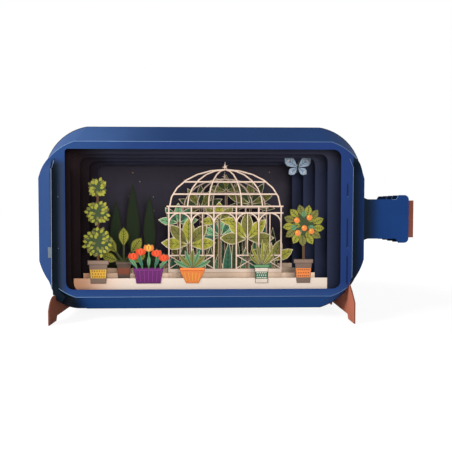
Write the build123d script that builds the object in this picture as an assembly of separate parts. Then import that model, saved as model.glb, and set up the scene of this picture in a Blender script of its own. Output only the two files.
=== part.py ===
from build123d import *
import math
import os

# A pop-up card in the shape of a bottle lying on its side, standing on two feet.
# Sketches are seen from the front, x to the right and y up, with (0, 0) in the middle of the body.
# Depths are counted from the front face of the front frame towards the back. Millimetres.

# Card and stack
sheet_t = 0.4
layer_pitch = 11.0
cell_count = 5
slot_gap = 0.1
ground_clearance = 6.0

# Bottle outline, the same on the four layers and the back panel. Each corner runs from the top or bottom edge
# down to a shoulder, the height over which the side stays straight beyond the neck.
body_length = 209.0
body_rise = 60.7
body_fall = 59.3
upper_run = 28.0
upper_bulge = 8.4
upper_shoulder = 13.3
lower_run = 27.0
lower_bulge = 5.9
lower_shoulder = 15.1
neck_height = 26.4
neck_reach = 32.3
neck_root_radius = 5.5
lip_height = 32.0
lip_length = 8.6
lip_slant = 1.7
lip_radius = 3.0
cork_height = 24.8
cork_reach = 3.3
cork_tuck = 4.0

# Front frame: margins are counted inwards from its outline, corners are given by run, drop and bulge
front_reach = 1.0
front_height = 100.0
front_corner = (23.0, 23.5, 4.1)
window_side_margin = 17.0
window_edge_margin = 5.0
window_radius = 5.0
window_sharp_radius = 2.0
left_flap_width = 8.5
right_flap_width = 9.0
slit_width = 0.3
slit_top_margin = 11.0
slit_lead_in = 2.4
slit_lead_height = 5.5
bar_corner_radius = 16.0
side_bend_height = 10.0
side_bend_steps = 6
left_flap_depths = (-2.7, 0.8)
right_flap_depths = (3.4, 6.4)

# Sloped flaps between the front frame and layer 1
flap_band = 0.55
flap_front_inset = 0.3
flap_back_inset = 0.25
top_flap_end_margin = 10.5
bottom_flap_end_margin = 8.5
bottom_flap_corner = (22.0, 20.0, 5.8)
tail_top_margin = 12.0
tail_bottom_margin = 1.6
tail_edge = ((0.0, 1.4), (0.8, 2.2), (3.6, 3.8), (6.0, -0.5), (1.2, -5.0), (1.2, -12.0))

# Concertinas, and the slots that they run through in every sheet
fold_t = 0.35
fold_margin = 12.5
fold_peak_reach = 8.0
fold_top_margin = 13.0
fold_bottom_margin = 10.3
fold_straight = 0.3
tab_spans = ((0.7, 15.8), (21.7, 40.5), (54.7, 62.4))
fold_front_drop = 3.2

# Openings of the layers: the margins of layer 1, and how they grow from layer to layer
opening_left_margin = 17.5
opening_left_step = 3.7
opening_right_margin = 23.5
opening_right_step = 6.3
opening_top_margin = 7.0
opening_top_step = 1.5
opening_bottom_margin = 7.0
opening_radius = 5.0

# Ground strips, glued on the front of the layers
ground_rise = 3.8
ground_step = 2.15
ground_lap = 5.0
ground_end_radius = 6.0
ground_side_gap = 1.8

# Feet: the place of each, and its front toe by height, bulge of the upper edge and the depth where that ends
foot_gap = 0.4
foot_t = 0.8
foot_slot_depth = 2.4
toe_reach = 13.0
toe_length = 15.0
toe_slope = 1.8
arch_height = 3.0
left_foot_margin = 9.8
left_toe = (8.8, 2.2, -1.7)
right_foot_margin = 10.9
right_toe = (13.0, 0.7, 0.4)
right_toe_drop = 2.1

# Garden pavilions: the front one and the one behind it
lattice_width = 1.3
fine_lattice_width = 0.9
pavilion_x = 14.0
pavilion_length = 78.0
pavilion_wall = 41.0
pavilion_dome = 25.0
pavilion_bays = 5
pavilion_rings = 2
pavilion_plinth = 3.0
pavilion_frieze = 4.5
pavilion_dado = 12.0
pavilion_eaves_reach = 1.0
finial_height = 6.0
finial_ball = 1.7
back_pavilion_length = 60.0
back_pavilion_wall = 38.0
back_pavilion_dome = 20.0
back_pavilion_bays = 4
back_pavilion_rings = 1

# Cut-outs reach this far down over the strip that carries them, and their outlines are cut in short straights
base_lap = 3.4
leaf_cuts = 5
arch_cuts = 8
dome_cuts = 12
stem_width = 1.5
bush_notch = 1.5

# Topiary: the trunk with three clipped balls, each given by its height above the ground and its radius
topiary_x = -70.0
topiary_pot = (12.0, 14.0, 10.0, 2.8)
topiary_balls = ((24.0, 9.8), (43.5, 8.0), (60.0, 6.2))
topiary_notch_counts = (12, 10, 9)

# Citrus tree
citrus_x = 66.0
citrus_pot = (12.5, 13.0, 9.0, 2.6)
citrus_crown = 35.0
citrus_core = 8.6
citrus_leaf_count = 13
citrus_leaf = (8.6, 5.2)
citrus_leaf_angle = 12.0

# Tulips: the trough, then the stems, each with its place in the trough and the height of its head
tulip_x = -37.0
tulip_trough = (7.0, 20.0, 16.0)
tulips = ((-7.6, 12.0), (-3.9, 15.0), (0.2, 17.5), (4.2, 14.0), (7.8, 11.0))
tulip_head = (5.8, 4.0)
tulip_petal_count = 3
tulip_petal_angle = 56.0
tulip_leaf = (9.5, 2.6)

# Agave bowl
agave_x = -8.0
agave_bowl_size = (7.0, 16.5, 8.0)
agave_leaf = (13.5, 3.4)
agave_leaf_count = 7
agave_leaf_angle = 130.0

# Grass pot
grass_x = 38.0
grass_pot_size = (9.0, 10.5, 8.4, 2.0)
grass_blades = ((152, 13.0, -4.2), (128, 15.5, -3.2), (106, 17.0, -1.6), (86, 18.0, 0.8), (66, 16.5, 2.2),
                (46, 15.0, 3.2), (26, 12.5, 4.0))
grass_width = 2.1

# Broad-leaved plant behind the tulips
broad_x = -55.0
broad_pot = (8.0, 11.0, 8.0, 2.2)
broad_leaves = ((20, 4.0, 12.0), (55, 8.0, 13.0), (90, 11.0, 13.5), (125, 8.0, 13.0), (160, 4.0, 12.0))
broad_leaf_width = 7.4

# Plants in the pavilion: place, height of the crown, spread of the leaves, their length and width
lime_plants = ((-11.0, 25.0, 170.0, 19.0, 8.6), (29.0, 29.0, 175.0, 19.0, 8.6),
               (47.0, 14.0, 120.0, 16.0, 7.0), (10.0, 42.0, 190.0, 13.0, 6.0))
lime_leaf_counts = (5, 5, 4, 5)
teal_plants = ((11.0, 31.0, 200.0, 17.0, 5.2), (-18.0, 40.0, 160.0, 14.0, 5.6))
teal_leaf_counts = (7, 5)
olive_plants = ((-3.0, 50.0, 200.0, 17.0, 5.4), (32.0, 53.0, 200.0, 18.0, 5.6),
                (15.0, 62.0, 150.0, 12.0, 4.6))
olive_leaf_counts = (7, 7, 5)

# Thickets of upright leaves behind these plants: the place, height and lean of each leaf
teal_thicket = ((-21.0, 20.0, -1.0), (-14.5, 30.0, 1.0), (-8.5, 23.0, 0.5), (-2.5, 33.0, -1.0),
                (3.5, 25.0, 0.5), (9.5, 19.0, -0.5), (15.5, 28.0, 1.0), (21.5, 35.0, -0.5),
                (27.5, 24.0, 0.5), (33.5, 31.0, 1.0), (39.5, 22.0, -0.5), (45.5, 27.0, 0.5))
teal_leaf_width = 6.2
olive_thicket = ((-20.0, 38.0, 1.0), (-11.5, 48.0, -1.5), (-3.0, 39.0, 1.0), (5.5, 50.0, 0.5),
                 (14.0, 43.0, -1.0), (22.5, 53.0, 1.0), (31.0, 41.0, -0.5), (39.5, 49.0, 1.5),
                 (47.5, 37.0, 0.5))
olive_leaf_width = 8.0
thicket_shoulder = 0.66
thicket_valley = 0.42

# Cypresses: the place of the middle one, then the place of each beside it, its height and width
cypress_x = -52.0
cypresses = ((-12.0, 46.0, 9.0), (0.0, 58.0, 10.0), (12.0, 50.0, 9.0))
hedge_height = 6.0
hedge_reach = 7.0

# Butterfly: its place in the upper corner of layer 3, and its wings by direction, distance, length and width
butterfly_margin = (4.0, 4.0)
butterfly_wings = ((35, 5.6, 5.8, 3.6), (145, 5.6, 5.8, 3.6), (-38, 4.0, 4.0, 2.6), (218, 4.0, 4.0, 2.6))
butterfly_body = (8.0, 1.8)

# Places worked out from the sizes above
stack_depth = cell_count * layer_pitch + sheet_t
half_length = body_length / 2
upper_corner = (upper_run, body_rise - neck_height / 2 - upper_shoulder, upper_bulge)
lower_corner = (lower_run, body_fall - neck_height / 2 - lower_shoulder, lower_bulge)
frame_half = half_length + front_reach
front_half = front_height / 2
body_x = -(neck_reach + cork_reach - front_reach) / 2
body_z = body_fall + ground_clearance
window_length = 2 * (frame_half - window_side_margin)
window_height = front_height - 2 * window_edge_margin
slits = {-1: frame_half - left_flap_width, 1: frame_half - right_flap_width}
slit_top = front_half - slit_top_margin
fold_x = frame_half - fold_margin
fold_top = front_half - fold_top_margin
fold_bottom = fold_bottom_margin - front_half
foot_places = {-1: left_foot_margin - frame_half, 1: frame_half - right_foot_margin}
foot_top = fold_bottom - foot_gap
foot_joint = foot_top - foot_slot_depth
opening_bottom = opening_bottom_margin - front_half
ground_bottom = opening_bottom - ground_lap


def card(sketch, depth, thickness=sheet_t):
    """Cut card standing upright with its front face at the given depth."""
    place = Location((body_x, depth + thickness - stack_depth / 2, body_z), (90, 0, 0))
    return place * extrude(sketch, amount=thickness)


def arc(start, end, bulge):
    """Arc from start to end that stands out by bulge to the left of the way there."""
    dx, dy = end[0] - start[0], end[1] - start[1]
    length = math.hypot(dx, dy)
    middle = ((start[0] + end[0]) / 2 - bulge * dy / length, (start[1] + end[1]) / 2 + bulge * dx / length)
    return ThreePointArc(start, middle, end)


def block(left, right, bottom, top):
    """Rectangle given by its four sides."""
    return Pos((left + right) / 2, (bottom + top) / 2) * Rectangle(right - left, top - bottom)


def bar(start, end, width):
    """Straight strip from start to end."""
    dx, dy = end[0] - start[0], end[1] - start[1]
    angle = math.degrees(math.atan2(dy, dx))
    middle = ((start[0] + end[0]) / 2, (start[1] + end[1]) / 2)
    return Pos(*middle) * Rot(0, 0, angle) * Rectangle(math.hypot(dx, dy), width)


def body_edges(reach, top, left_corner, right_corner):
    """Upper edge of a body from its left side to its right side. Corners are given by run, drop and bulge."""
    left, right = (-reach, top - left_corner[1]), (reach, top - right_corner[1])
    top_left, top_right = (left_corner[0] - reach, top), (reach - right_corner[0], top)
    edges = arc(left, top_left, left_corner[2]) + Line(top_left, top_right)
    return edges + arc(top_right, right, right_corner[2])


def bottle_half(top, corner):
    """Upper half of the bottle outline: body, neck and lip."""
    neck, lip = neck_height / 2, lip_height / 2
    end = half_length + neck_reach
    root = neck_root_radius
    slope_end = end - lip_length + lip_slant
    side_top = top - corner[1]
    share = 1 - math.sqrt(0.5)
    root_middle = (half_length + root * share, neck + root * share)
    lip_middle = (end - lip_radius * share, lip - lip_radius * share)
    half = body_edges(half_length, top, corner, corner)
    half += Line((-half_length, 0), (-half_length, side_top))
    half += Line((half_length, side_top), (half_length, neck + root))
    half += ThreePointArc((half_length, neck + root), root_middle, (half_length + root, neck))
    half += Polyline((half_length + root, neck), (end - lip_length, neck), (slope_end, lip),
                     (end - lip_radius, lip))
    half += ThreePointArc((end - lip_radius, lip), lip_middle, (end, lip - lip_radius))
    half += Line((end, lip - lip_radius), (end, 0))
    return half


def bottle_face():
    """Whole bottle outline, its lower corners cut further in than the upper ones."""
    lower = mirror(bottle_half(body_fall, lower_corner), Plane.XZ)
    return make_face(bottle_half(body_rise, upper_corner) + lower)


def front_face():
    """Outline of the front frame with its side flaps still flat."""
    side_top = front_half - front_corner[1]
    half = body_edges(frame_half, front_half, front_corner, front_corner)
    half += Line((-frame_half, 0), (-frame_half, side_top))
    half += Line((frame_half, side_top), (frame_half, 0))
    return make_face(half + mirror(half, Plane.XZ))


def tab_levels(sheet):
    """Lower and upper end of the three tabs in one sheet. In the front frame the lowest reaches deeper."""
    levels = [(fold_bottom + low, fold_bottom + high) for low, high in tab_spans]
    if sheet == 0:
        levels[0] = (levels[0][0] - fold_front_drop, levels[0][1])
    return levels


def fold_slots(sheet):
    """Slots for the concertinas in one sheet, three at each side."""
    width = fold_t + 2 * slot_gap
    return [block(side * fold_x - width / 2, side * fold_x + width / 2, low - slot_gap, high + slot_gap)
            for side in (-1, 1) for low, high in tab_levels(sheet)]


def foot_slots():
    """Slots for the feet, open at the lower edge."""
    width = foot_t + 2 * slot_gap
    return [block(x - width / 2, x + width / 2, -body_fall - 1, foot_joint) for x in foot_places.values()]


def flap_region(side, offset):
    """What lies outside the slit of one side, up to the point where the slit ends."""
    slit = slits[side] + offset
    points = [(slit - slit_lead_in, slit_top), (slit, slit_top - slit_lead_height), (slit, -front_half),
              (frame_half + 1, -front_half), (frame_half + 1, slit_top)]
    return make_face(Polyline(*[(side * x, y) for x, y in points], close=True))


def side_flap(side, depths):
    """Side flap that bends out of the plane of the frame below the point where the slit ends."""
    slit = slits[side]
    inner_x, outer_x = slit - slit_lead_in - 1, frame_half + 1
    sections = []
    heights = [slit_top - side_bend_height * k / side_bend_steps for k in range(side_bend_steps + 1)]
    for height in heights + [-front_half]:
        share = min(1.0, (slit_top - height) / side_bend_height)
        ease = share * share * (3 - 2 * share)
        slope = (depths[1] - depths[0]) / (frame_half - slit)
        thick = sheet_t * math.hypot(1, slope * ease)
        near, far = [ease * (depths[0] + slope * (x - slit)) for x in (inner_x, outer_x)]
        corners = [(inner_x, near), (outer_x, far), (outer_x, far + thick), (inner_x, near + thick)]
        points = [(side * x + body_x, y - stack_depth / 2, height + body_z) for x, y in corners]
        sections.append(make_face(Polyline(*points, close=True)))
    bent = loft(sections, ruled=True)
    cut = card(front_face() & flap_region(side, slit_width / 2), -layer_pitch, 2 * layer_pitch)
    return bent & cut


def front_frame():
    """Front sheet with its window, the slots for the concertinas and the two side flaps."""
    reach, top = window_length / 2, window_height / 2
    sharp = RectangleRounded(2 * window_radius, 2 * window_radius, window_sharp_radius)
    window = RectangleRounded(window_length, window_height, window_radius)
    window += Pos(window_radius - reach, top - window_radius) * sharp
    flat = front_face() - window - fold_slots(0)
    for side in (-1, 1):
        flat -= flap_region(side, -slit_width / 2)
    height = -front_half + front_corner[1] / 2
    corners = [min(flat.vertices(), key=lambda v: math.hypot(v.X - side * slits[side], v.Y - height))
               for side in (-1, 1)]
    flat = fillet(corners, bar_corner_radius)
    return card(flat, 0) + side_flap(-1, left_flap_depths) + side_flap(1, right_flap_depths)


def rim(reach, top, left_corner, right_corner, depth):
    """Thin band along the top of an outline, as a face at one depth."""
    outer = body_edges(reach, top, left_corner, right_corner)
    inner = body_edges(reach - flap_band, top - flap_band, left_corner, right_corner)
    ends = [Line((side * reach, top - corner[1]), (side * (reach - flap_band), top - flap_band - corner[1]))
            for side, corner in ((-1, left_corner), (1, right_corner))]
    band = make_face(outer + inner + ends)
    return Location((body_x, depth - stack_depth / 2, body_z), (90, 0, 0)) * band


def sloped_flap(top, left_corner, right_corner, keep):
    """Upper flap from the back of the front frame out to layer 1, cut down to what is kept."""
    inset = flap_front_inset
    front = rim(frame_half - inset, front_half - inset, front_corner, front_corner, sheet_t)
    back = rim(half_length - flap_back_inset, top - flap_back_inset, left_corner, right_corner, layer_pitch)
    return loft([front, back], ruled=True) & card(keep, 0, layer_pitch)


def top_flap():
    """Flap over the frame, cut off at one height."""
    keep = block(-frame_half, frame_half, front_half - top_flap_end_margin, body_rise)
    return sloped_flap(body_rise, upper_corner, upper_corner, keep)


def bottom_flap():
    """Flap under the frame, between the feet, with a tail at its left end that hangs before the left foot."""
    clear = foot_t / 2 + fold_straight
    low = front_half - bottom_flap_end_margin
    keep = block(foot_places[-1] + clear, foot_places[1] - clear, low, body_fall)
    upper = sloped_flap(body_fall, bottom_flap_corner, lower_corner, keep)
    lower = mirror(upper, Plane.XY.offset(body_z))
    left, right = -slits[-1], foot_places[-1] + clear
    low, high = tail_bottom_margin - front_half, tail_top_margin - front_half
    tail = Polyline((left, high), (left, low), (right, low),
                    *[(right + x, -front_half - drop) for x, drop in tail_edge], (left, high))
    return lower + card(make_face(tail), sheet_t, flap_band)


def concertina(side):
    """Folded strip through the slots of all sheets: straight to layer 1, then one fold in each cell."""
    path = [(fold_x, 0.0)]
    for sheet in range(1, cell_count + 1):
        depth = sheet * layer_pitch
        path.append((fold_x, depth - fold_straight))
        if sheet < cell_count:
            path.append((fold_x, depth + sheet_t + fold_straight))
            path.append((fold_x + fold_peak_reach, depth + (layer_pitch + sheet_t) / 2))
    path.append((fold_x, stack_depth))
    edges = {1: [], -1: []}
    for k, point in enumerate(path):
        before, after = path[max(k - 1, 0)], path[min(k + 1, len(path) - 1)]
        normals = []
        for a, b in ((before, point), (point, after)):
            length = math.hypot(b[0] - a[0], b[1] - a[1])
            if length > 0:
                normals.append((-(b[1] - a[1]) / length, (b[0] - a[0]) / length))
        nx, ny = sum(n[0] for n in normals), sum(n[1] for n in normals)
        reach = fold_t / 2 * len(normals) / (nx * nx + ny * ny)
        for way in (1, -1):
            edges[way].append((point[0] + way * reach * nx, point[1] + way * reach * ny))
    outline = edges[1] + edges[-1][::-1]
    points = [(side * x, y) for x, y in outline]
    bottom = fold_bottom - fold_front_drop
    strip = extrude(make_face(Polyline(*points, close=True)), amount=fold_top - bottom)
    strip = Pos(body_x, -stack_depth / 2, body_z + bottom) * strip
    outer = fold_x + fold_peak_reach + 1
    behind_front = block(min(side * fold_x - side, side * outer), max(side * fold_x - side, side * outer),
                         bottom - 1, fold_bottom)
    windows = [card(behind_front, layer_pitch - slot_gap, stack_depth)]
    for sheet in range(cell_count + 1):
        ends = [height for span in tab_levels(sheet) for height in span]
        levels = sorted([bottom - 1, fold_top + 1] + ends)
        for low, high in zip(levels[::2], levels[1::2]):
            opening = block(side * fold_x - 1, side * fold_x + 1, low, high)
            windows.append(card(opening, sheet * layer_pitch - slot_gap, sheet_t + 2 * slot_gap))
    return strip - windows


def foot(side, toe, apex_height):
    """Foot plate across the depth, with a toe at the front and at the back and a slot for each sheet."""
    toe_height, bulge, apex = toe
    apex_height += body_z
    top, joint = body_z + foot_top, body_z + foot_joint
    back = stack_depth
    shelf = sheet_t + flap_band + 2 * slot_gap
    edges = Line((-toe_reach, 0), (-toe_reach, toe_height))
    edges += arc((-toe_reach, toe_height), (apex, apex_height), bulge)
    edges += Polyline((apex, apex_height), (shelf, apex_height), (shelf, top), (back - apex, top))
    edges += arc((back - apex, top), (back + toe_reach, toe_height), bulge)
    inner = toe_length - toe_reach
    edges += Polyline((back + toe_reach, toe_height), (back + toe_reach, 0), (back - inner, 0),
                      (back - inner - toe_slope, arch_height), (inner + toe_slope, arch_height),
                      (inner, 0), (-toe_reach, 0))
    slots = [block(sheet * layer_pitch - slot_gap, sheet * layer_pitch + sheet_t + slot_gap, joint, top + 1)
             for sheet in range(1, cell_count + 1)]
    origin = (body_x + foot_places[side] - foot_t / 2, -back / 2, 0)
    plane = Plane(origin=origin, x_dir=(0, 1, 0), z_dir=(1, 0, 0))
    return plane * extrude(make_face(edges) - slots, amount=foot_t)


def opening_sides(layer):
    """Left, right and top of the opening in one layer."""
    step = layer - 1
    return (opening_left_margin + opening_left_step * step - frame_half,
            frame_half - opening_right_margin - opening_right_step * step,
            front_half - opening_top_margin - opening_top_step * step)


def ground_top(layer):
    """Height of the ground in one layer."""
    return opening_bottom + ground_rise + ground_step * (layer - 1)


def layer_sheet(layer):
    """Bottle sheet with its opening and slots."""
    left, right, top = opening_sides(layer)
    opening = RectangleRounded(right - left, top - opening_bottom, opening_radius)
    opening = Pos((left + right) / 2, (top + opening_bottom) / 2) * opening
    return card(bottle_face() - opening - fold_slots(layer) - foot_slots(), layer * layer_pitch)


def ground_strip(layer):
    """Cream strip on the front of a layer, its lower left corner round."""
    left, right, _ = opening_sides(layer)
    left += ground_side_gap
    strip = block(left, right, ground_bottom, ground_top(layer))
    corner = strip.vertices().sort_by(Axis.X)[:2].sort_by(Axis.Y)[0]
    return card(fillet(corner, ground_end_radius), layer * layer_pitch - sheet_t)


def cork(sheet):
    """Cork card behind a lip, or before it on the back panel."""
    end = half_length + neck_reach
    piece = block(end - cork_tuck, end + cork_reach, -cork_height / 2, cork_height / 2)
    depth = sheet * layer_pitch
    return card(piece, depth - sheet_t if sheet == cell_count else depth + sheet_t)


def leaf(base, angle, length, width, bend=0.0, fullest=0.55):
    """Pointed leaf of straight cuts, widest at the share fullest of its length. Bend moves its tip aside."""
    power = math.log(0.5) / math.log(fullest)
    left, right = [], []
    for k in range(1, leaf_cuts):
        share = k / leaf_cuts
        half = width / 2 * math.sin(math.pi * share ** power)
        left.append((length * share, bend * share * share + half))
        right.append((length * share, bend * share * share - half))
    outline = [(0, 0)] + right + [(length, bend)] + left[::-1]
    return Pos(*base) * Rot(0, 0, angle) * make_face(Polyline(*outline, close=True))


def fan(base, spread, count, length, width):
    """Leaves that spread evenly from one point, over an angle that is centred on straight up."""
    step = spread / (count - 1)
    return [leaf(base, 90 - spread / 2 + k * step, length, width) for k in range(count)]


def bush(centre, radius, points):
    """Clipped round bush with a notched edge."""
    outline = []
    for k in range(2 * points):
        turn, reach = math.pi * k / points, radius if k % 2 else radius - bush_notch
        outline.append((centre[0] + reach * math.cos(turn), centre[1] + reach * math.sin(turn)))
    return make_face(Polyline(*outline, close=True))


def curve_strip(start, end, rise, width, cuts):
    """Half an ellipse arch from start to end, cut as a strip of straight pieces."""
    middle, half = (start + end) / 2, (end - start) / 2
    outer, inner = [], []
    for k in range(cuts + 1):
        turn = math.pi * k / cuts
        outer.append((middle - (half + width / 2) * math.cos(turn), (rise + width / 2) * math.sin(turn)))
        inner.append((middle - (half - width / 2) * math.cos(turn), (rise - width / 2) * math.sin(turn)))
    return make_face(Polyline(*outer, *inner[::-1], close=True))


def pot(x, ground, size):
    """Tapered flower pot with a straight rim, which reaches down over the ground strip."""
    height, top_width, bottom_width, rim_height = size
    top, rim_low = ground + height, ground + height - rim_height
    inner = top_width / 2 - rim_height / 3
    corners = [(x - bottom_width / 2, ground - base_lap), (x + bottom_width / 2, ground - base_lap),
               (x + inner, rim_low), (x + top_width / 2, rim_low), (x + top_width / 2, top),
               (x - top_width / 2, top), (x - top_width / 2, rim_low), (x - inner, rim_low)]
    return make_face(Polyline(*corners, close=True))


def bay_lattice(middle, radius, wall):
    """Panel of one bay: crossed bars below a rail, and a fine glazing bar above it."""
    low, high = pavilion_plinth, pavilion_dado
    left, right = middle - radius, middle + radius
    return [block(left, right, high - lattice_width / 2, high + lattice_width / 2),
            bar((left, low), (right, high), fine_lattice_width),
            bar((left, high), (right, low), fine_lattice_width),
            bar((middle, high), (middle, wall), fine_lattice_width)]


def pavilion(length, wall, dome, bays, rings, panels):
    """Open garden pavilion: plinth, posts, arches, panels, frieze, glazed dome and finial."""
    half, width = length / 2, lattice_width
    bay, radius = (length - width) / bays, (length - width) / bays / 2
    eaves = wall + pavilion_frieze
    reach = half + pavilion_eaves_reach
    pieces = [block(-half, half, -base_lap, pavilion_plinth)]
    for level in (wall, eaves):
        pieces.append(block(-reach, reach, level - width / 2, level + width / 2))
    for k in range(bays + 1):
        pieces.append(bar((-half + width / 2 + k * bay, 0), (-half + width / 2 + k * bay, eaves), width))
    for k in range(bays):
        left = -half + width / 2 + k * bay
        arch = curve_strip(left, left + bay, radius, width, arch_cuts)
        pieces.append(Pos(0, wall - radius) * arch)
        if panels and 2 * k + 1 != bays:
            pieces += bay_lattice(left + radius, radius, wall)
    for share in (1, 0.68, 0.3):
        rib = curve_strip(-share * (half - width), share * (half - width), dome, width, dome_cuts)
        pieces.append(Pos(0, eaves) * rib)
    for k in range(1, rings + 1):
        level = dome * k / (rings + 1)
        ring = (half - width) * math.sqrt(1 - (level / dome) ** 2)
        pieces.append(block(-ring, ring, eaves + level - width / 2, eaves + level + width / 2))
    tip = eaves + dome
    pieces.append(bush((0, tip + finial_ball), finial_ball + bush_notch / 2, 5))
    spike = [(-width / 2, tip), (width / 2, tip), (0, tip + finial_height)]
    pieces.append(make_face(Polyline(*spike, close=True)))
    return Sketch() + pieces


def ball_topiary(x, ground):
    """Three clipped balls on one trunk, in a tapered pot."""
    trunk_top = ground + topiary_balls[-1][0]
    pieces = [pot(x, ground, topiary_pot), bar((x, ground + topiary_pot[0] - 1), (x, trunk_top), stem_width)]
    for (height, radius), notches in zip(topiary_balls, topiary_notch_counts):
        pieces.append(bush((x, ground + height), radius, notches))
    return Sketch() + pieces


def citrus_tree(x, ground):
    """Round-headed tree with a ring of leaves round its crown, in a tapered pot."""
    crown = (x, ground + citrus_crown)
    pieces = [pot(x, ground, citrus_pot), bar((x, ground + citrus_pot[0] - 1), crown, stem_width),
              bush(crown, citrus_core, citrus_leaf_count)]
    root = citrus_core - 2 * bush_notch
    for k in range(citrus_leaf_count):
        angle = 360 * k / citrus_leaf_count + citrus_leaf_angle
        turn = math.radians(angle)
        base = (crown[0] + root * math.cos(turn), crown[1] + root * math.sin(turn))
        pieces.append(leaf(base, angle + citrus_leaf_angle, *citrus_leaf))
    return Sketch() + pieces


def tulip_planter(x, ground):
    """Trough with tulips."""
    height, top_width, bottom_width = tulip_trough
    top = ground + height
    corners = [(x - bottom_width / 2, ground - base_lap), (x + bottom_width / 2, ground - base_lap),
               (x + top_width / 2, top), (x - top_width / 2, top)]
    pieces = [make_face(Polyline(*corners, close=True))]
    length, width = tulip_head
    for place, rise in tulips:
        root, head = (x + place, top - 1), (x + place * 1.3, top + rise - length)
        pieces.append(bar(root, head, stem_width * 0.7))
        pieces += fan((head[0], head[1] - width / 3), tulip_petal_angle, tulip_petal_count, length, width)
        pieces.append(leaf((x + place * 0.9, top - 1), 90 - place * 4, *tulip_leaf, -place / 4))
    return Sketch() + pieces


def agave_bowl(x, ground):
    """Low bowl with stiff pointed leaves."""
    height, top_width, bottom_width = agave_bowl_size
    top = ground + height
    side, low = top_width / 2, bottom_width / 2
    outline = [(x - low, ground - base_lap), (x + low, ground - base_lap),
               (x + side * 0.8, ground + height * 0.2), (x + side, ground + height * 0.7), (x + side, top),
               (x - side, top), (x - side, ground + height * 0.7), (x - side * 0.8, ground + height * 0.2)]
    rosette = fan((x, top - 1), agave_leaf_angle, agave_leaf_count, *agave_leaf)
    return Sketch() + [make_face(Polyline(*outline, close=True))] + rosette


def grass_pot(x, ground):
    """Straight pot with arching grass."""
    root = (x, ground + grass_pot_size[0] - 1)
    blades = [leaf(root, angle, length, grass_width, bend) for angle, length, bend in grass_blades]
    return Sketch() + [pot(x, ground, grass_pot_size)] + blades


def broad_leaf_pot(x, ground):
    """Pot of broad leaves on stalks."""
    root = (x, ground + broad_pot[0] - 1)
    pieces = [pot(x, ground, broad_pot)]
    for angle, stalk, length in broad_leaves:
        turn = math.radians(angle)
        end = (root[0] + stalk * math.cos(turn), root[1] + stalk * math.sin(turn))
        beyond = (end[0] + stem_width * math.cos(turn), end[1] + stem_width * math.sin(turn))
        pieces += [bar(root, beyond, stem_width * 0.8), leaf(end, angle, length, broad_leaf_width)]
    return Sketch() + pieces


def thicket(leaves, width):
    """Row of upright leaves side by side, in one jagged outline down to a common base."""
    low = opening_bottom - base_lap
    outline = [(leaves[0][0] - width / 2, low)]
    for x, height, lean in leaves:
        valley = opening_bottom + height * thicket_valley
        shoulder = opening_bottom + height * thicket_shoulder
        outline += [(x - width / 2, valley), (x - width * 0.4 + lean / 2, shoulder),
                    (x + lean, opening_bottom + height), (x + width * 0.4 + lean / 2, shoulder)]
    last = leaves[-1]
    outline += [(last[0] + width / 2, opening_bottom + last[1] * thicket_valley), (last[0] + width / 2, low)]
    return make_face(Polyline(*outline, close=True))


def foliage(plants, leaf_counts):
    """Row of plants on one base that is hidden by the ground strip before it."""
    places = [plant[0] for plant in plants]
    pieces = [block(min(places) - stem_width, max(places) + stem_width, opening_bottom - base_lap,
                    opening_bottom + stem_width)]
    for (x, height, spread, length, width), count in zip(plants, leaf_counts):
        crown = (x, opening_bottom + height)
        pieces.append(bar((x, opening_bottom), (crown[0], crown[1] + stem_width), stem_width))
        pieces += fan(crown, spread, count, length, width)
    return Sketch() + pieces


def cypress_row(middle, ground):
    """Slender trees in silhouette behind one low hedge."""
    places = [middle + offset for offset, _, _ in cypresses]
    left, right = min(places) - hedge_reach, max(places) + hedge_reach
    pieces = [block(left, right, ground - base_lap, ground + hedge_height)]
    for x, (_, height, width) in zip(places, cypresses):
        pieces.append(leaf((x, ground + hedge_height / 2), 90, height - hedge_height / 2, width, 0, 0.4))
    return Sketch() + pieces


def butterfly():
    """Butterfly in the upper right corner of the opening of layer 3, one wing on the sheet."""
    _, right, top = opening_sides(3)
    x, y = right - butterfly_margin[0], top - butterfly_margin[1]
    length, width = butterfly_body
    pieces = [Pos(x, y) * Rot(0, 0, 80) * leaf((-length / 2, 0), 0, length, width)]
    for turn, away, wing_length, wing_width in butterfly_wings:
        angle = math.radians(turn)
        start = (x + (away - wing_length) * math.cos(angle), y + (away - wing_length) * math.sin(angle))
        pieces.append(leaf(start, turn, 2 * wing_length, 2 * wing_width, 0, 0.62))
    return Sketch() + pieces


def in_front(layer, sketch, place=1):
    """Cut-out glued on the front of a ground strip, or straight on the sheet at place 0."""
    return card(sketch, layer * layer_pitch - (place + 1) * sheet_t)


def behind(layer, sketch, place=0):
    """Cut-out glued on the back of a layer, or at place 1 on the back of one that is there already."""
    return card(sketch, layer * layer_pitch + (place + 1) * sheet_t)


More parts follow.
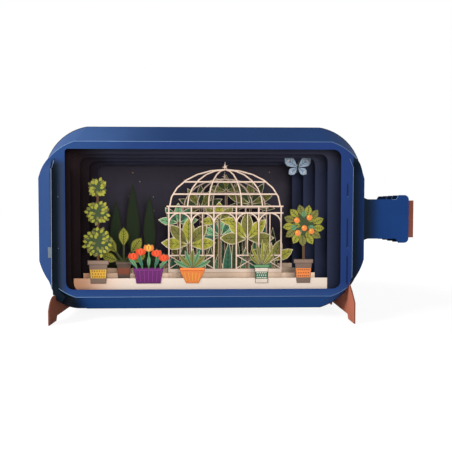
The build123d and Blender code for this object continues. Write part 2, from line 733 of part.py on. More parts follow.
def garden():
    """Everything that stands on the ground strips."""
    first, second, third, fourth = [ground_top(layer) for layer in (1, 2, 3, 4)]
    front = pavilion(pavilion_length, pavilion_wall, pavilion_dome, pavilion_bays, pavilion_rings, True)
    rear = pavilion(back_pavilion_length, back_pavilion_wall, back_pavilion_dome, back_pavilion_bays,
                    back_pavilion_rings, False)
    teal = foliage(teal_plants, teal_leaf_counts) + thicket(teal_thicket, teal_leaf_width)
    olive = foliage(olive_plants, olive_leaf_counts) + thicket(olive_thicket, olive_leaf_width)
    return {
        "ball_topiary": in_front(1, ball_topiary(topiary_x, first)),
        "tulip_planter": in_front(1, tulip_planter(tulip_x, first)),
        "agave_bowl": in_front(1, agave_bowl(agave_x, first)),
        "grass_pot": in_front(1, grass_pot(grass_x, first)),
        "citrus_tree": in_front(1, citrus_tree(citrus_x, first)),
        "broad_leaf_pot": in_front(2, broad_leaf_pot(broad_x, second)),
        "pavilion_front": in_front(2, Pos(pavilion_x, second) * front),
        "foliage_lime": behind(2, foliage(lime_plants, lime_leaf_counts)),
        "foliage_teal": behind(2, teal, 1),
        "pavilion_back": in_front(3, Pos(pavilion_x, third) * rear),
        "foliage_olive": behind(3, olive),
        "butterfly": in_front(3, butterfly(), 0),
        "cypress_row": in_front(4, cypress_row(cypress_x, fourth)),
    }


def sheets():
    """The card itself: frame, flaps, layers, back panel, concertinas, corks and feet."""
    pieces = {
        "front_frame": front_frame(),
        "top_flap": top_flap(),
        "bottom_flap": bottom_flap(),
        "back_panel": card(bottle_face() - fold_slots(cell_count) - foot_slots(), cell_count * layer_pitch),
        "left_concertina": concertina(-1),
        "right_concertina": concertina(1),
        "left_foot": foot(-1, left_toe, tail_bottom_margin - front_half - slot_gap),
        "right_foot": foot(1, right_toe, foot_top - right_toe_drop),
    }
    for layer in range(1, cell_count):
        pieces[f"layer_{layer}"] = layer_sheet(layer)
        pieces[f"ground_strip_{layer}"] = ground_strip(layer)
    for sheet in range(1, cell_count + 1):
        pieces[f"cork_{sheet}"] = cork(sheet)
    return pieces


os.makedirs("parts", exist_ok=True)
for name, piece in {**sheets(), **garden()}.items():
    export_step(piece, f"parts/{name}.step")
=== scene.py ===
import math
import random

import bmesh
import bpy
from bpy.props import FloatProperty, FloatVectorProperty, IntProperty, PointerProperty
from bpy.types import Operator, Panel, PropertyGroup
from mathutils import Euler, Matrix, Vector


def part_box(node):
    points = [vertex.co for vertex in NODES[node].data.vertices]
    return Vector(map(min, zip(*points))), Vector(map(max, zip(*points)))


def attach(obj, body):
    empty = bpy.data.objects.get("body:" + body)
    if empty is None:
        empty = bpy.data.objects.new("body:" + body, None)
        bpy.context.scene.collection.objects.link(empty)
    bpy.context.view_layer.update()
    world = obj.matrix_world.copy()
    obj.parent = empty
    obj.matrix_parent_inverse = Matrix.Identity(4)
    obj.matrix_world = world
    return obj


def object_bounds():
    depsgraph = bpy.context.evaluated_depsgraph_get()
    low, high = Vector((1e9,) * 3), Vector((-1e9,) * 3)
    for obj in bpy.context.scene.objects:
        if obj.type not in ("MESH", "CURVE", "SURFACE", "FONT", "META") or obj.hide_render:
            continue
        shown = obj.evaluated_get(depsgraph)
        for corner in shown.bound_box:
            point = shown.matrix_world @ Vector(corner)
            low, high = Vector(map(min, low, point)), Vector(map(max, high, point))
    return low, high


bl_info = {
    "name": "Bottle Garden Card",
    "version": (1, 0, 0),
    "blender": (4, 5, 0),
    "location": "3D View > Sidebar > Card",
    "description": "Dresses a layered pop-up card: printed card, cut-paper garden and a plain studio",
    "category": "Object",
}

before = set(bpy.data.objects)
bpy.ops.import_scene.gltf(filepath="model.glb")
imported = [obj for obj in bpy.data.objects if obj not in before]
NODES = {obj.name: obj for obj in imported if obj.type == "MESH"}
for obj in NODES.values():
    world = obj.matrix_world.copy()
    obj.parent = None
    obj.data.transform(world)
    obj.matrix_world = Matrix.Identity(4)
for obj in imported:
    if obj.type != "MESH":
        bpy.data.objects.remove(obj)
CARD_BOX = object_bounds()

MM = 0.001

# The card's own axes: (0, 0) is the middle of the front frame, and depths are counted back from its face,
# where the left concertina starts. Sizes are in millimetres.
FRAME_LOW, FRAME_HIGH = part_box("front_frame")
MIDDLE_X = (FRAME_LOW.x + FRAME_HIGH.x) / 2
MIDDLE_Z = (FRAME_LOW.z + FRAME_HIGH.z) / 2
FRONT_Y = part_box("left_concertina")[0].y
SHEET = 0.4
PITCH = 11.0
HALF_FRAME = 105.5
HALF_FRAME_HEIGHT = 50.0
FRAME_CORNER = (23.0, 23.5, 4.1)
HALF_BODY = 104.5
LEFT_SLIT, RIGHT_SLIT = -97.0, 96.5
SLOT_X = 93.0
LEFT_FLAP_DEPTH = -2.6
BACK_DEPTH = 55.0

# How far printed detail lies off its card, and the steps between detail that overlaps
ON_FACE = 0.01
COAT_STEP, BAR_STEP = 0.02, 0.012
FILM_STEP, FILM_STEPS = 0.0015, 9

# Printed card: its shine, and the share of a face's normal along the axis of its sheet under which the face
# counts as a cut edge
SHINE = 0.05
CUT_EDGE = 0.35

# The camera: its place on the card's axes, its tilt and turn in radians, and its sideways shift
CAMERA_PLACE = (5.9, 8.13, -345.97)
CAMERA_TILT, CAMERA_TURN, CAMERA_SHIFT = -0.0356, -0.0288, -0.0061

# The floor lies this much below the feet, in metres
FLOOR_GAP = 0.0002

# Turn from one leaf to the next in an even spiral, in radians
GOLDEN_ANGLE = 2.39996


def srgb(r, g, b):
    """A colour as it is picked on screen, 0 to 255, in the linear values that shaders take."""
    parts = []
    for c in (r, g, b):
        c = c / 255
        parts.append(c / 12.92 if c <= 0.04045 else ((c + 0.055) / 1.055) ** 2.4)
    return parts


def ink_property(name, description, rgb):
    return FloatVectorProperty(name=name, description=description, subtype="COLOR", size=3, min=0.0,
                               max=1.0, default=srgb(*rgb))


class CardInks(PropertyGroup):
    """Printed colours of the card, with inks that paint light and shade onto it."""

    frame_blue: ink_property("Frame blue", "Front frame and its side flaps", (23, 46, 96))
    # Painted light: the upper left of the frame and its bar below the window printed lighter
    frame_painted_light: ink_property("Frame glow", "Upper left of the frame", (35, 62, 108))
    # Painted light: the left side flap, which faces the lamp, printed lighter than the frame
    side_blue: ink_property("Side blue", "Left side flap", (38, 62, 106))
    # Painted shade: greyer blue on the left bar, in the shadow of the side flap
    bar_shade_blue: ink_property("Bar blue", "Left side bar of the frame", (36, 48, 70))
    shadow_blue: ink_property("Shadow blue", "Shaded folds of the blue card", (8, 20, 30))
    flap_blue: ink_property("Flap blue", "Sloped flap above the front frame", (28, 52, 92))
    # Painted light: the left end of the upper flap printed lighter
    flap_painted_light: ink_property("Flap glow", "Left end of the upper flap", (58, 84, 130))
    # Painted light: the lower flap printed lighter than the upper one, standing in for light from the floor
    low_lit_blue: ink_property("Low blue", "Sloped flap below the front frame", (25, 63, 118))
    neck_blue: ink_property("Neck blue", "Necks and backs of the bottle sheets", (16, 48, 98))
    night: ink_property("Night", "Inner sides of the bottle sheets", (34, 39, 59))
    # Painted shade and painted light: the inner sides darker at the left and lighter at the top
    night_warm_shade: ink_property("Warm night", "Left part of the inner sides", (26, 16, 18))
    night_painted_light: ink_property("Night glow", "Top of the inner sides", (46, 47, 61))
    sky: ink_property("Sky", "Front of the back panel", (52, 48, 58))
    terracotta: ink_property("Terracotta", "Feet and corks", (188, 111, 86))
    cream: ink_property("Cream", "Ground strips", (213, 196, 181))
    # Painted light: the ground strips further back printed lighter than the front one
    far_cream_lit: ink_property("Far cream", "Ground strips further back", (222, 192, 166))
    # Painted shade: the shadow of the frame's left bar on the left end of the ground strips, also the ink of
    # their cut edges
    clay_and_shade: ink_property("Clay", "Left end of the ground strips", (200, 146, 112))
    lattice: ink_property("Lattice", "Printed face of the pavilions", (206, 184, 166))
    lattice_edge: ink_property("Lattice edge", "Outline of the pavilions' bars", (98, 72, 60))
    paper_core: ink_property("Paper core", "Worn creases", (104, 130, 166))
    lime: ink_property("Lime", "Bright leaves", (144, 141, 54))
    olive: ink_property("Olive", "Muted leaves", (106, 103, 52))
    teal: ink_property("Teal", "Blue-green leaves", (54, 96, 76))
    mint: ink_property("Mint", "Pale green leaves", (100, 144, 104))
    moss: ink_property("Moss", "Dark leaves and veins", (52, 62, 40))
    bark: ink_property("Bark", "Trunks and soil", (84, 56, 44))
    leaf_edge: ink_property("Leaf edge", "Pale outline round printed leaves", (186, 172, 142))
    orange: ink_property("Orange", "Fruit and bowl", (208, 118, 62))
    red: ink_property("Red", "Tulips", (206, 76, 46))
    purple: ink_property("Purple", "Trough", (92, 40, 90))
    stone: ink_property("Stone", "Pots", (118, 98, 86))
    mustard: ink_property("Mustard", "Pot bands", (198, 152, 60))
    flap_edge: ink_property("Flap edge", "Worn edge of the left side flap", (106, 121, 146))
    pale_blue: ink_property("Pale blue", "Butterfly", (164, 180, 196))


class CardPrint(PropertyGroup):
    """Sizes of the printed detail."""

    film: FloatProperty(name="Ink film", description="Thickness of printed detail, in millimetres",
                        default=0.04, min=0.01, max=0.2)
    crease_width: FloatProperty(name="Crease", description="Width of a worn crease, in millimetres",
                                default=0.34, min=0.1, max=1.0)
    mottling: FloatProperty(name="Mottling", description="How uneven the ink lies", default=0.10, min=0.0,
                            max=0.5, subtype="FACTOR")
    stars: IntProperty(name="Stars", description="Small stars on the back panel", default=16, min=0, max=80)
    seed: IntProperty(name="Seed", description="Start of every random choice", default=11, min=0)


class CardStudio(PropertyGroup):
    """Lamps and surroundings."""

    key_power: FloatProperty(name="Key lamp", description="Power of the large lamp at the upper left",
                             default=8.0, min=0.0, unit="POWER")
    fill_power: FloatProperty(name="Fill lamp", description="Power of the low lamp in front", default=10.0,
                              min=0.0, unit="POWER")
    world_level: FloatProperty(name="Surroundings", description="Light from all sides", default=0.26,
                               min=0.0)
    focal_length: FloatProperty(name="Focal length", description="Focal length of the camera, in millimetres",
                                default=42.85, min=10.0, max=200.0)


def inks():
    return bpy.context.scene.card_inks


def prints():
    return bpy.context.scene.card_print


def across(u):
    return MIDDLE_X + u * MM


def up(v):
    return MIDDLE_Z + v * MM


def place(u, v, depth):
    """Point of the card: u to the right, v up, depth to the back, in millimetres."""
    return Vector((across(u), FRONT_Y + depth * MM, up(v)))


# Materials


class Shader:
    """Small helper that adds nodes to one material and links them."""

    def __init__(self, name):
        self.material = bpy.data.materials.new(name)
        self.material.use_nodes = True
        self.tree = self.material.node_tree
        self.surface = self.tree.nodes["Principled BSDF"]
        self.point = self.add("ShaderNodeTexCoord").outputs["Object"]

    def add(self, kind, **values):
        node = self.tree.nodes.new(kind)
        for key, value in values.items():
            setattr(node, key, value)
        return node

    def link(self, out, into):
        self.tree.links.new(out, into)

    def noise(self, per_metre, detail, roughness=0.5):
        node = self.add("ShaderNodeTexNoise")
        self.link(self.point, node.inputs["Vector"])
        node.inputs["Scale"].default_value = per_metre
        node.inputs["Detail"].default_value = detail
        node.inputs["Roughness"].default_value = roughness
        return node.outputs["Fac"]

    def ramp(self, value, low, high):
        node = self.add("ShaderNodeMapRange", interpolation_type="SMOOTHSTEP")
        self.link(value, node.inputs["Value"])
        node.inputs["From Min"].default_value = low
        node.inputs["From Max"].default_value = high
        return node.outputs["Result"]

    def math(self, operation, a, b=0.0):
        node = self.add("ShaderNodeMath", operation=operation)
        for socket, value in zip(node.inputs, (a, b)):
            if isinstance(value, (int, float)):
                socket.default_value = value
            else:
                self.link(value, socket)
        return node.outputs["Value"]

    def mix(self, share, a, b):
        """Mix of two colours: inputs 0, 6 and 7 are the share and the colours, output 2 is the mix."""
        node = self.add("ShaderNodeMix", data_type="RGBA")
        for socket, value in zip((node.inputs[0], node.inputs[6], node.inputs[7]), (share, a, b)):
            if hasattr(value, "is_linked"):
                self.link(value, socket)
            elif isinstance(value, (int, float)):
                socket.default_value = value
            else:
                socket.default_value = (*value, 1)
        return node.outputs[2]

    def axis(self, vector, index):
        node = self.add("ShaderNodeSeparateXYZ")
        self.link(vector, node.inputs[0])
        return node.outputs[index]

    def share(self, ramps):
        """Product of ramps over the card, each given by its axis and the places where it is 0 and 1."""
        total = 1.0
        for index, zero, one in ramps:
            total = self.math("MULTIPLY", self.ramp(self.axis(self.point, index), zero, one), total)
        return total

    def uneven(self):
        """How the ink lies: broad clouds and the grain of the paper."""
        cloud = self.ramp(self.noise(38.0, 4.0), 0.3, 0.7)
        grain = self.ramp(self.noise(1500.0, 2.0), 0.25, 0.75)
        return self.math("ADD", self.math("MULTIPLY", cloud, 0.6), self.math("MULTIPLY", grain, 0.4))

    def inked(self, uneven, level, ink, patches=()):
        """Ink with patches of other inks: each has its ink and the ramps that bound it."""
        colour = self.mix(uneven, shade(ink, 1 - level), shade(ink, 1 + level))
        for patch_ink, ramps in patches:
            patch = self.mix(uneven, shade(patch_ink, 1 - level), shade(patch_ink, 1 + level))
            colour = self.mix(self.share(ramps), colour, patch)
        return colour

    def finish(self, colour, roughness):
        """Closes the material with a fine paper surface."""
        self.link(colour, self.surface.inputs["Base Color"])
        self.surface.inputs["Roughness"].default_value = roughness
        self.surface.inputs["Specular IOR Level"].default_value = SHINE
        bump = self.add("ShaderNodeBump")
        bump.inputs["Strength"].default_value = 0.25
        bump.inputs["Distance"].default_value = 0.00004
        self.link(self.noise(2600.0, 4.0, 0.6), bump.inputs["Height"])
        self.link(bump.outputs["Normal"], self.surface.inputs["Normal"])
        return self.material


def shade(ink, factor):
    """The same ink, darker or lighter."""
    return [min(1.0, c * factor) for c in ink]


def printed_card(name, ink, roughness=0.6, core=None, patches=(), mottling=None, face=1):
    """Printed card. The core shows on cut edges, which don't look along the axis that the sheet faces."""
    s = Shader(name)
    level = prints().mottling if mottling is None else mottling
    colour = s.inked(s.uneven(), level, ink, patches)
    if core is not None:
        facing = s.math("ABSOLUTE", s.axis(s.add("ShaderNodeNewGeometry").outputs["True Normal"], face))
        colour = s.mix(s.math("LESS_THAN", facing, CUT_EDGE), colour, core)
    return s.finish(colour, roughness)


def coat(ink_name, factor=1.0):
    """Printed card in one of the inks, made once for each tone."""
    key = f"{ink_name}_{round(factor * 100)}"
    found = bpy.data.materials.get(key)
    return found or printed_card(key, shade(getattr(inks(), ink_name), factor), mottling=0.12)


def potted(key, ink_name, factor, pot_name, pot_factor, pot_top):
    """Base print of a potted plant: one ink above the pot's top, another below it."""
    below = ((2, up(pot_top + 0.05), up(pot_top - 0.05)),)
    patch = (shade(getattr(inks(), pot_name), pot_factor), below)
    return printed_card(key, shade(getattr(inks(), ink_name), factor), patches=(patch,), mottling=0.12)


def bottle_card(name, inner_ink, neck_ink, patches=()):
    """Bottle sheet: dark inside the body, printed neck with a painted shadow of the body at its root, blue on
    the back.
    """
    s = Shader(name)
    ink = inks()
    level, uneven = prints().mottling, s.uneven()
    # Painted shadow of the body on the root of the neck
    root = ((0, across(HALF_BODY + 15), across(HALF_BODY + 3)),)
    inner = s.inked(uneven, level, inner_ink, patches)
    neck = s.inked(uneven, level, neck_ink, ((ink.shadow_blue, root),))
    rear = s.inked(uneven, level, ink.neck_blue)
    normal = s.axis(s.add("ShaderNodeNewGeometry").outputs["True Normal"], 1)
    beyond_body = s.math("GREATER_THAN", s.axis(s.point, 0), across(HALF_BODY - 0.5))
    colour = s.mix(beyond_body, inner, neck)
    colour = s.mix(s.math("GREATER_THAN", normal, 0.5), colour, rear)
    colour = s.mix(s.math("LESS_THAN", s.math("ABSOLUTE", normal), CUT_EDGE), colour, ink.shadow_blue)
    return s.finish(colour, 0.6)


def dress(material, *names):
    """Gives CAD pieces their printed card."""
    for name in names:
        node = NODES[name]
        node.data.materials.clear()
        node.data.materials.append(material)


# Printed detail as thin films


def film(name, outlines, depth, material, slot):
    """Closed thin pieces, one for each outline in u and v, standing out to the front from the given depth.

    Each lies a little before the last, so that no two that overlap share a face."""
    mesh = bmesh.new()
    for k, points in enumerate(outlines):
        face = depth - prints().film - FILM_STEP * (k % FILM_STEPS)
        back = [mesh.verts.new(place(u, v, depth)) for u, v in points]
        front = [mesh.verts.new(place(u, v, face)) for u, v in points]
        mesh.faces.new(front)
        mesh.faces.new(back[::-1])
        for j in range(len(points)):
            after = (j + 1) % len(points)
            mesh.faces.new((back[j], back[after], front[after], front[j]))
    bmesh.ops.recalc_face_normals(mesh, faces=mesh.faces)
    data = bpy.data.meshes.new(name)
    mesh.to_mesh(data)
    mesh.free()
    piece = bpy.data.objects.new(name, data)
    bpy.context.scene.collection.objects.link(piece)
    data.materials.append(material)
    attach(piece, "root")


def ribbon(points, width):
    """Outline of a strip of even width along a line of points."""
    left, right = [], []
    for k, (x, y) in enumerate(points):
        ax, ay = points[max(k - 1, 0)]
        bx, by = points[min(k + 1, len(points) - 1)]
        length = math.hypot(bx - ax, by - ay)
        nx, ny = -(by - ay) / length, (bx - ax) / length
        left.append((x + nx * width / 2, y + ny * width / 2))
        right.append((x - nx * width / 2, y - ny * width / 2))
    return left + right[::-1]


def ribbons(points, width):
    """The same strip as separate four-sided pieces, so that it may bend either way."""
    return [ribbon(pair, width) for pair in zip(points, points[1:])]


def around(x, y, reach, turn):
    """Point at some distance from (x, y), in the direction of a turn in radians."""
    return x + reach * math.cos(turn), y + reach * math.sin(turn)


def disc(x, y, radius, sides=16):
    return [around(x, y, radius, 2 * math.pi * k / sides) for k in range(sides)]


def box_outline(left, right, bottom, top):
    return [(left, bottom), (right, bottom), (right, top), (left, top)]


def taper(x, low, half_low, high, half_high):
    """Outline with a level foot and top, the same on both sides of x."""
    return [(x - half_low, low), (x + half_low, low), (x + half_high, high), (x - half_high, high)]


def leaf_line(base, angle, length, bend, share, aside=0.0):
    """Point on a leaf: share along its middle line, aside from it."""
    turn = math.radians(angle)
    x, y = length * share, bend * share * share + aside
    across_x, across_y = y * math.sin(turn), y * math.cos(turn)
    return base[0] + x * math.cos(turn) - across_x, base[1] + x * math.sin(turn) + across_y


def leaf_outline(base, angle, length, width, bend=0.0, fullest=0.55, cuts=12):
    """Printed face of a leaf, a little inside its cut edge."""
    start, end = 0.06, 0.94
    power = math.log(0.5) / math.log(fullest)
    left, right = [], []
    for k in range(1, cuts):
        share = start + (end - start) * k / cuts
        half = width / 2 * max(0.05, math.sin(math.pi * share ** power) - 0.16)
        left.append(leaf_line(base, angle, length, bend, share, half))
        right.append(leaf_line(base, angle, length, bend, share, -half))
    root, tip = [leaf_line(base, angle, length, bend, share) for share in (start, end)]
    return [root] + right + [tip] + left[::-1]


def leaf_veins(base, angle, length, width, bend, pairs, line):
    """Middle rib and side ribs of a leaf."""
    middle = [leaf_line(base, angle, length, bend, 0.02 + 0.84 * k / 8) for k in range(9)]
    lines = ribbons(middle, line)
    for k in range(pairs):
        share = 0.2 + 0.52 * k / max(1, pairs - 1)
        reach = width * 0.27 * math.sin(math.pi * share)
        for side in (-1, 1):
            a = leaf_line(base, angle, length, bend, share)
            b = leaf_line(base, angle, length, bend, share + 0.12, side * reach)
            lines.append(ribbon([a, b], line * 0.7))
    return lines


# Sizes of the garden's cut-outs: they follow the card's own cut lines

GROUND = [-39.2 + 2.15 * k for k in range(4)]
OPENING_BOTTOM = -43.0
BASE_LAP = 3.4
LATTICE, FINE_LATTICE = 1.3, 0.9
PLINTH, DADO, FRIEZE = 3.0, 12.0, 4.5


def cutout_face(layer, place_in_front=1):
    """Depth of the front face of a cut-out that is glued before a layer."""
    return layer * PITCH - (place_in_front + 1) * SHEET - ON_FACE


# Foliage: its layer, its place behind it and its plants. Each plant has its place, its height, its number
# of leaves, and their spread, length and width.
FOLIAGE = {
    "lime": (2, 0, ((-11.0, 25.0, 5, 170, 19.0, 8.6), (29.0, 29.0, 5, 175, 19.0, 8.6),
                    (47.0, 14.0, 4, 120, 16.0, 7.0), (10.0, 42.0, 5, 190, 13.0, 6.0))),
    "teal": (2, 1, ((11.0, 31.0, 7, 200, 17.0, 5.2), (-18.0, 40.0, 5, 160, 14.0, 5.6))),
    "olive": (3, 0, ((-3.0, 50.0, 7, 200, 17.0, 5.4), (32.0, 53.0, 7, 200, 18.0, 5.6),
                     (15.0, 62.0, 5, 150, 12.0, 4.6))),
}
# Thickets: the width of their upright leaves, and the place, height and lean of each leaf
THICKETS = {
    "teal": (6.2, ((-21.0, 20.0, -1.0), (-14.5, 30.0, 1.0), (-8.5, 23.0, 0.5), (-2.5, 33.0, -1.0),
                   (3.5, 25.0, 0.5), (9.5, 19.0, -0.5), (15.5, 28.0, 1.0), (21.5, 35.0, -0.5),
                   (27.5, 24.0, 0.5), (33.5, 31.0, 1.0), (39.5, 22.0, -0.5), (45.5, 27.0, 0.5))),
    "olive": (8.0, ((-20.0, 38.0, 1.0), (-11.5, 48.0, -1.5), (-3.0, 39.0, 1.0), (5.5, 50.0, 0.5),
                    (14.0, 43.0, -1.0), (22.5, 53.0, 1.0), (31.0, 41.0, -0.5), (39.5, 49.0, 1.5),
                    (47.5, 37.0, 0.5))),
}


# Pieces of the card


def frame_corner(sides=14):
    """Upper left corner of the front frame as points, from its side to its top."""
    run, drop, bulge = FRAME_CORNER
    a, b = (-HALF_FRAME, HALF_FRAME_HEIGHT - drop), (run - HALF_FRAME, HALF_FRAME_HEIGHT)
    dx, dy = b[0] - a[0], b[1] - a[1]
    chord = math.hypot(dx, dy)
    radius = (chord * chord / 4 + bulge * bulge) / (2 * bulge)
    middle = ((a[0] + b[0]) / 2, (a[1] + b[1]) / 2)
    nx, ny = -dy / chord, dx / chord
    centre = (middle[0] - nx * (radius - bulge), middle[1] - ny * (radius - bulge))
    first = math.atan2(a[1] - centre[1], a[0] - centre[0])
    last = math.atan2(b[1] - centre[1], b[0] - centre[0])
    if last > first:
        first += 2 * math.pi
    return [around(*centre, radius, first + (last - first) * k / sides) for k in range(sides + 1)]


def make_front_frame():
    """Blue frame with painted light at its upper left, below its window and on its left side flap, and
    painted shade on its right side and beside its slits, where the flaps cast shadows.
    """
    ink = inks()
    left, right = LEFT_SLIT, RIGHT_SLIT
    before_slit = (0, across(left + 0.1), across(left - 0.1))
    past_slit = (0, across(left - 0.1), across(left + 0.1))
    below_slit_top = (2, up(40), up(34))
    patches = (
        # Painted light at the upper left, then on the bar below the window
        (ink.frame_painted_light, ((0, across(-10), across(-90)), (2, up(20), up(46)))),
        (ink.frame_painted_light, ((2, up(-38), up(-54)),)),
        # Painted shade over the right side of the frame, away from the lamp
        (ink.shadow_blue, ((0, across(80), across(170)),)),
        # Painted light on the left side flap
        (ink.side_blue, (before_slit, below_slit_top)),
        # Painted shadow of the left side flap on the bar beside the slit, darkest nearest the slit
        (ink.bar_shade_blue, ((0, across(left + 10), across(left + 6)), past_slit, below_slit_top)),
        (ink.shadow_blue, ((0, across(left + 7), across(left + 2.5)), past_slit, below_slit_top)),
        # Painted shadow of the frame's right bar on the right side flap
        (ink.shadow_blue, ((0, across(right + 11), across(right + 2)),
                           (0, across(right - 0.1), across(right + 0.1)))),
    )
    dress(printed_card("frame_print", ink.frame_blue, 0.55, shade(ink.frame_blue, 0.8), patches, 0.05),
          "front_frame")
    wear_light_and_shade_on_front_frame()


def wear_light_and_shade_on_front_frame():
    """Worn pale creases and cut edges with painted light on their left part, painted shade in the gap at the
    left slit and over the right slots, and the lower end and the tab of the left side flap.
    """
    ink = inks()
    left, width = LEFT_SLIT, prints().crease_width
    # Painted light: the worn creases are printed paler towards the left, where the lamp falls
    lit = ((shade(ink.paper_core, 0.9), ((0, across(40), across(-80)),)),)
    pale = printed_card("worn_edge", shade(ink.paper_core, 0.6), 0.7, None, lit)
    upper = [(x + width / 2, y - width / 2) for x, y in frame_corner() if y > 38.5]
    lower = [(x, -y) for x, y in upper if y > 43.0]
    top, bottom = [half + [(-x, y) for x, y in half[::-1]] for half in (upper, lower)]
    right = RIGHT_SLIT - 0.3
    right_edge = [(right - 2.2, 39.0), (right + 0.2, 33.5), (right - 0.2, -38.0)]
    left_lead = [(left + 1.8, 37.5), (left + 0.5, 33.0)]
    left_edge = [(left + 0.6, 32.5), (left + 0.2, -44.0)]
    flap_end = [(left - 1.8, -38.4), (left - 0.5, -41.6), (left + 0.3, -44.4), (left + 0.3, -33.0),
                (left - 1.8, -33.0)]
    tab = box_outline(left - 1.9, left + 0.2, -24.2, -17.4)
    gap = [(left - 0.9, -33.0), (left + 0.25, -33.0), (left + 0.25, -46.0), (left - 0.4, -44.0)]
    spans = ((23.1, 15.3), (0.5, -18.7), (-23.9, -42.0))
    slots = [ribbon([(SLOT_X - 0.3, high), (SLOT_X - 0.4, low)], 0.9) for high, low in spans]
    marks = [disc(side * SLOT_X, v, 0.24, 8) for side in (-1, 1) for v in (-18.5, 14.5)]
    for name, outlines, depth, material in (
            ("crease_top", ribbons(top, width), -ON_FACE, pale),
            ("crease_bottom", ribbons(bottom, width), -ON_FACE, pale),
            ("slit_edge_right", ribbons(right_edge, width * 0.7), -ON_FACE, coat("flap_edge", 0.85)),
            ("slit_lead_left", ribbons(left_lead, width), -0.5, coat("flap_edge")),
            ("flap_edge_left", ribbons(left_edge, width * 1.2), LEFT_FLAP_DEPTH - 0.04, coat("flap_edge")),
            # Lower end of the left side flap, in the same painted light
            ("flap_end_left", [flap_end], LEFT_FLAP_DEPTH, coat("side_blue")),
            ("flap_tab_left", [tab], LEFT_FLAP_DEPTH - 0.02, coat("pale_blue", 0.3)),
            # Painted shade: a dark film in the gap at the left slit, and dark lines over the right slots
            ("slit_shade_left", [gap], -0.3, coat("shadow_blue")),
            ("slot_shade_right", slots, -ON_FACE, coat("frame_blue", 0.45)),
            ("slot_marks", marks, -ON_FACE, pale)):
        film(name, outlines, depth, material, "blue_frame")


def make_flaps():
    """Sloped flaps: painted light on the upper one at its left end, painted shade on the lower one there; the
    lower one is printed lighter all over, as painted light from the floor.
    """
    ink = inks()
    # Painted light on the left end of the upper flap, painted shade on the left end of the lower one
    glow = ((ink.flap_painted_light, ((0, across(-15), across(-92)),)),)
    dark = ((ink.shadow_blue, ((0, across(-74), across(-86)),)),)
    dress(printed_card("top_flap_print", ink.flap_blue, 0.5, None, glow, 0.05), "top_flap")
    dress(printed_card("low_flap_print", ink.low_lit_blue, 0.5, None, dark, 0.05), "bottom_flap")


def make_bottle_sheets():
    """Layers and back panel with painted light and shade inside and painted shade on the rear necks, and the
    pale edges of the lips.
    """
    ink = inks()
    # Painted light at the top of the inner sides, painted shade over their left part
    inside = ((ink.night_painted_light, ((2, up(30), up(44)),)), (ink.night_warm_shade, ((0, across(-60), across(-86)),)))
    # Painted shade: the necks behind the first one lie in the shade between the sheets
    shaded_neck = shade(ink.neck_blue, 0.3)
    dress(bottle_card("bottle_print", ink.night, ink.neck_blue, inside), "layer_1")
    dress(bottle_card("far_bottle_print", ink.night, shaded_neck, inside), "layer_2", "layer_3", "layer_4")
    dress(bottle_card("back_print", ink.sky, shaded_neck), "back_panel")
    line = ribbons([(125.5, 13.05), (128.15, 13.05), (129.85, 15.8)], 0.26)
    for layer in range(1, 4):
        film(f"lip_edge_{layer}", line, layer * PITCH - ON_FACE, coat("paper_core", 0.9), "navy_card")


def make_concertinas():
    dress(printed_card("concertina_print", inks().night), "left_concertina", "right_concertina")


def make_feet_and_corks():
    """Terracotta feet, their edges darker than their sides and painted shade on the left one, and corks."""
    ink = inks()
    # Painted shade: the left foot printed darker, its seen side turned away from the lamp
    dim = ((shade(ink.terracotta, 0.4), ((0, across(60), across(-60)),)),)
    edge = shade(ink.terracotta, 0.3)
    clay_and_shade = printed_card("terracotta_print", ink.terracotta, 0.6, edge, dim, 0.14, face=0)
    dress(clay_and_shade, "left_foot", "right_foot")
    dress(coat("terracotta", 0.28), *[f"cork_{k}" for k in range(1, 6)])


def make_ground_strips():
    """Cream strips with a painted shadow of the frame's left bar at their left end; the strips further back
    are printed lighter as painted light.
    """
    ink = inks()
    # Painted shadow of the frame's left bar on the left end of the strips
    clay_and_shade = ((ink.clay_and_shade, ((0, across(-48), across(-88)),)),)
    edge = shade(ink.clay_and_shade, 0.6)
    dress(printed_card("ground_print", ink.cream, 0.6, edge, clay_and_shade, 0.04), "ground_strip_1")
    # Painted light on the strips further back
    dress(printed_card("far_ground_print", ink.far_cream_lit, 0.6, edge, clay_and_shade, 0.04),
          *[f"ground_strip_{k}" for k in range(2, 5)])


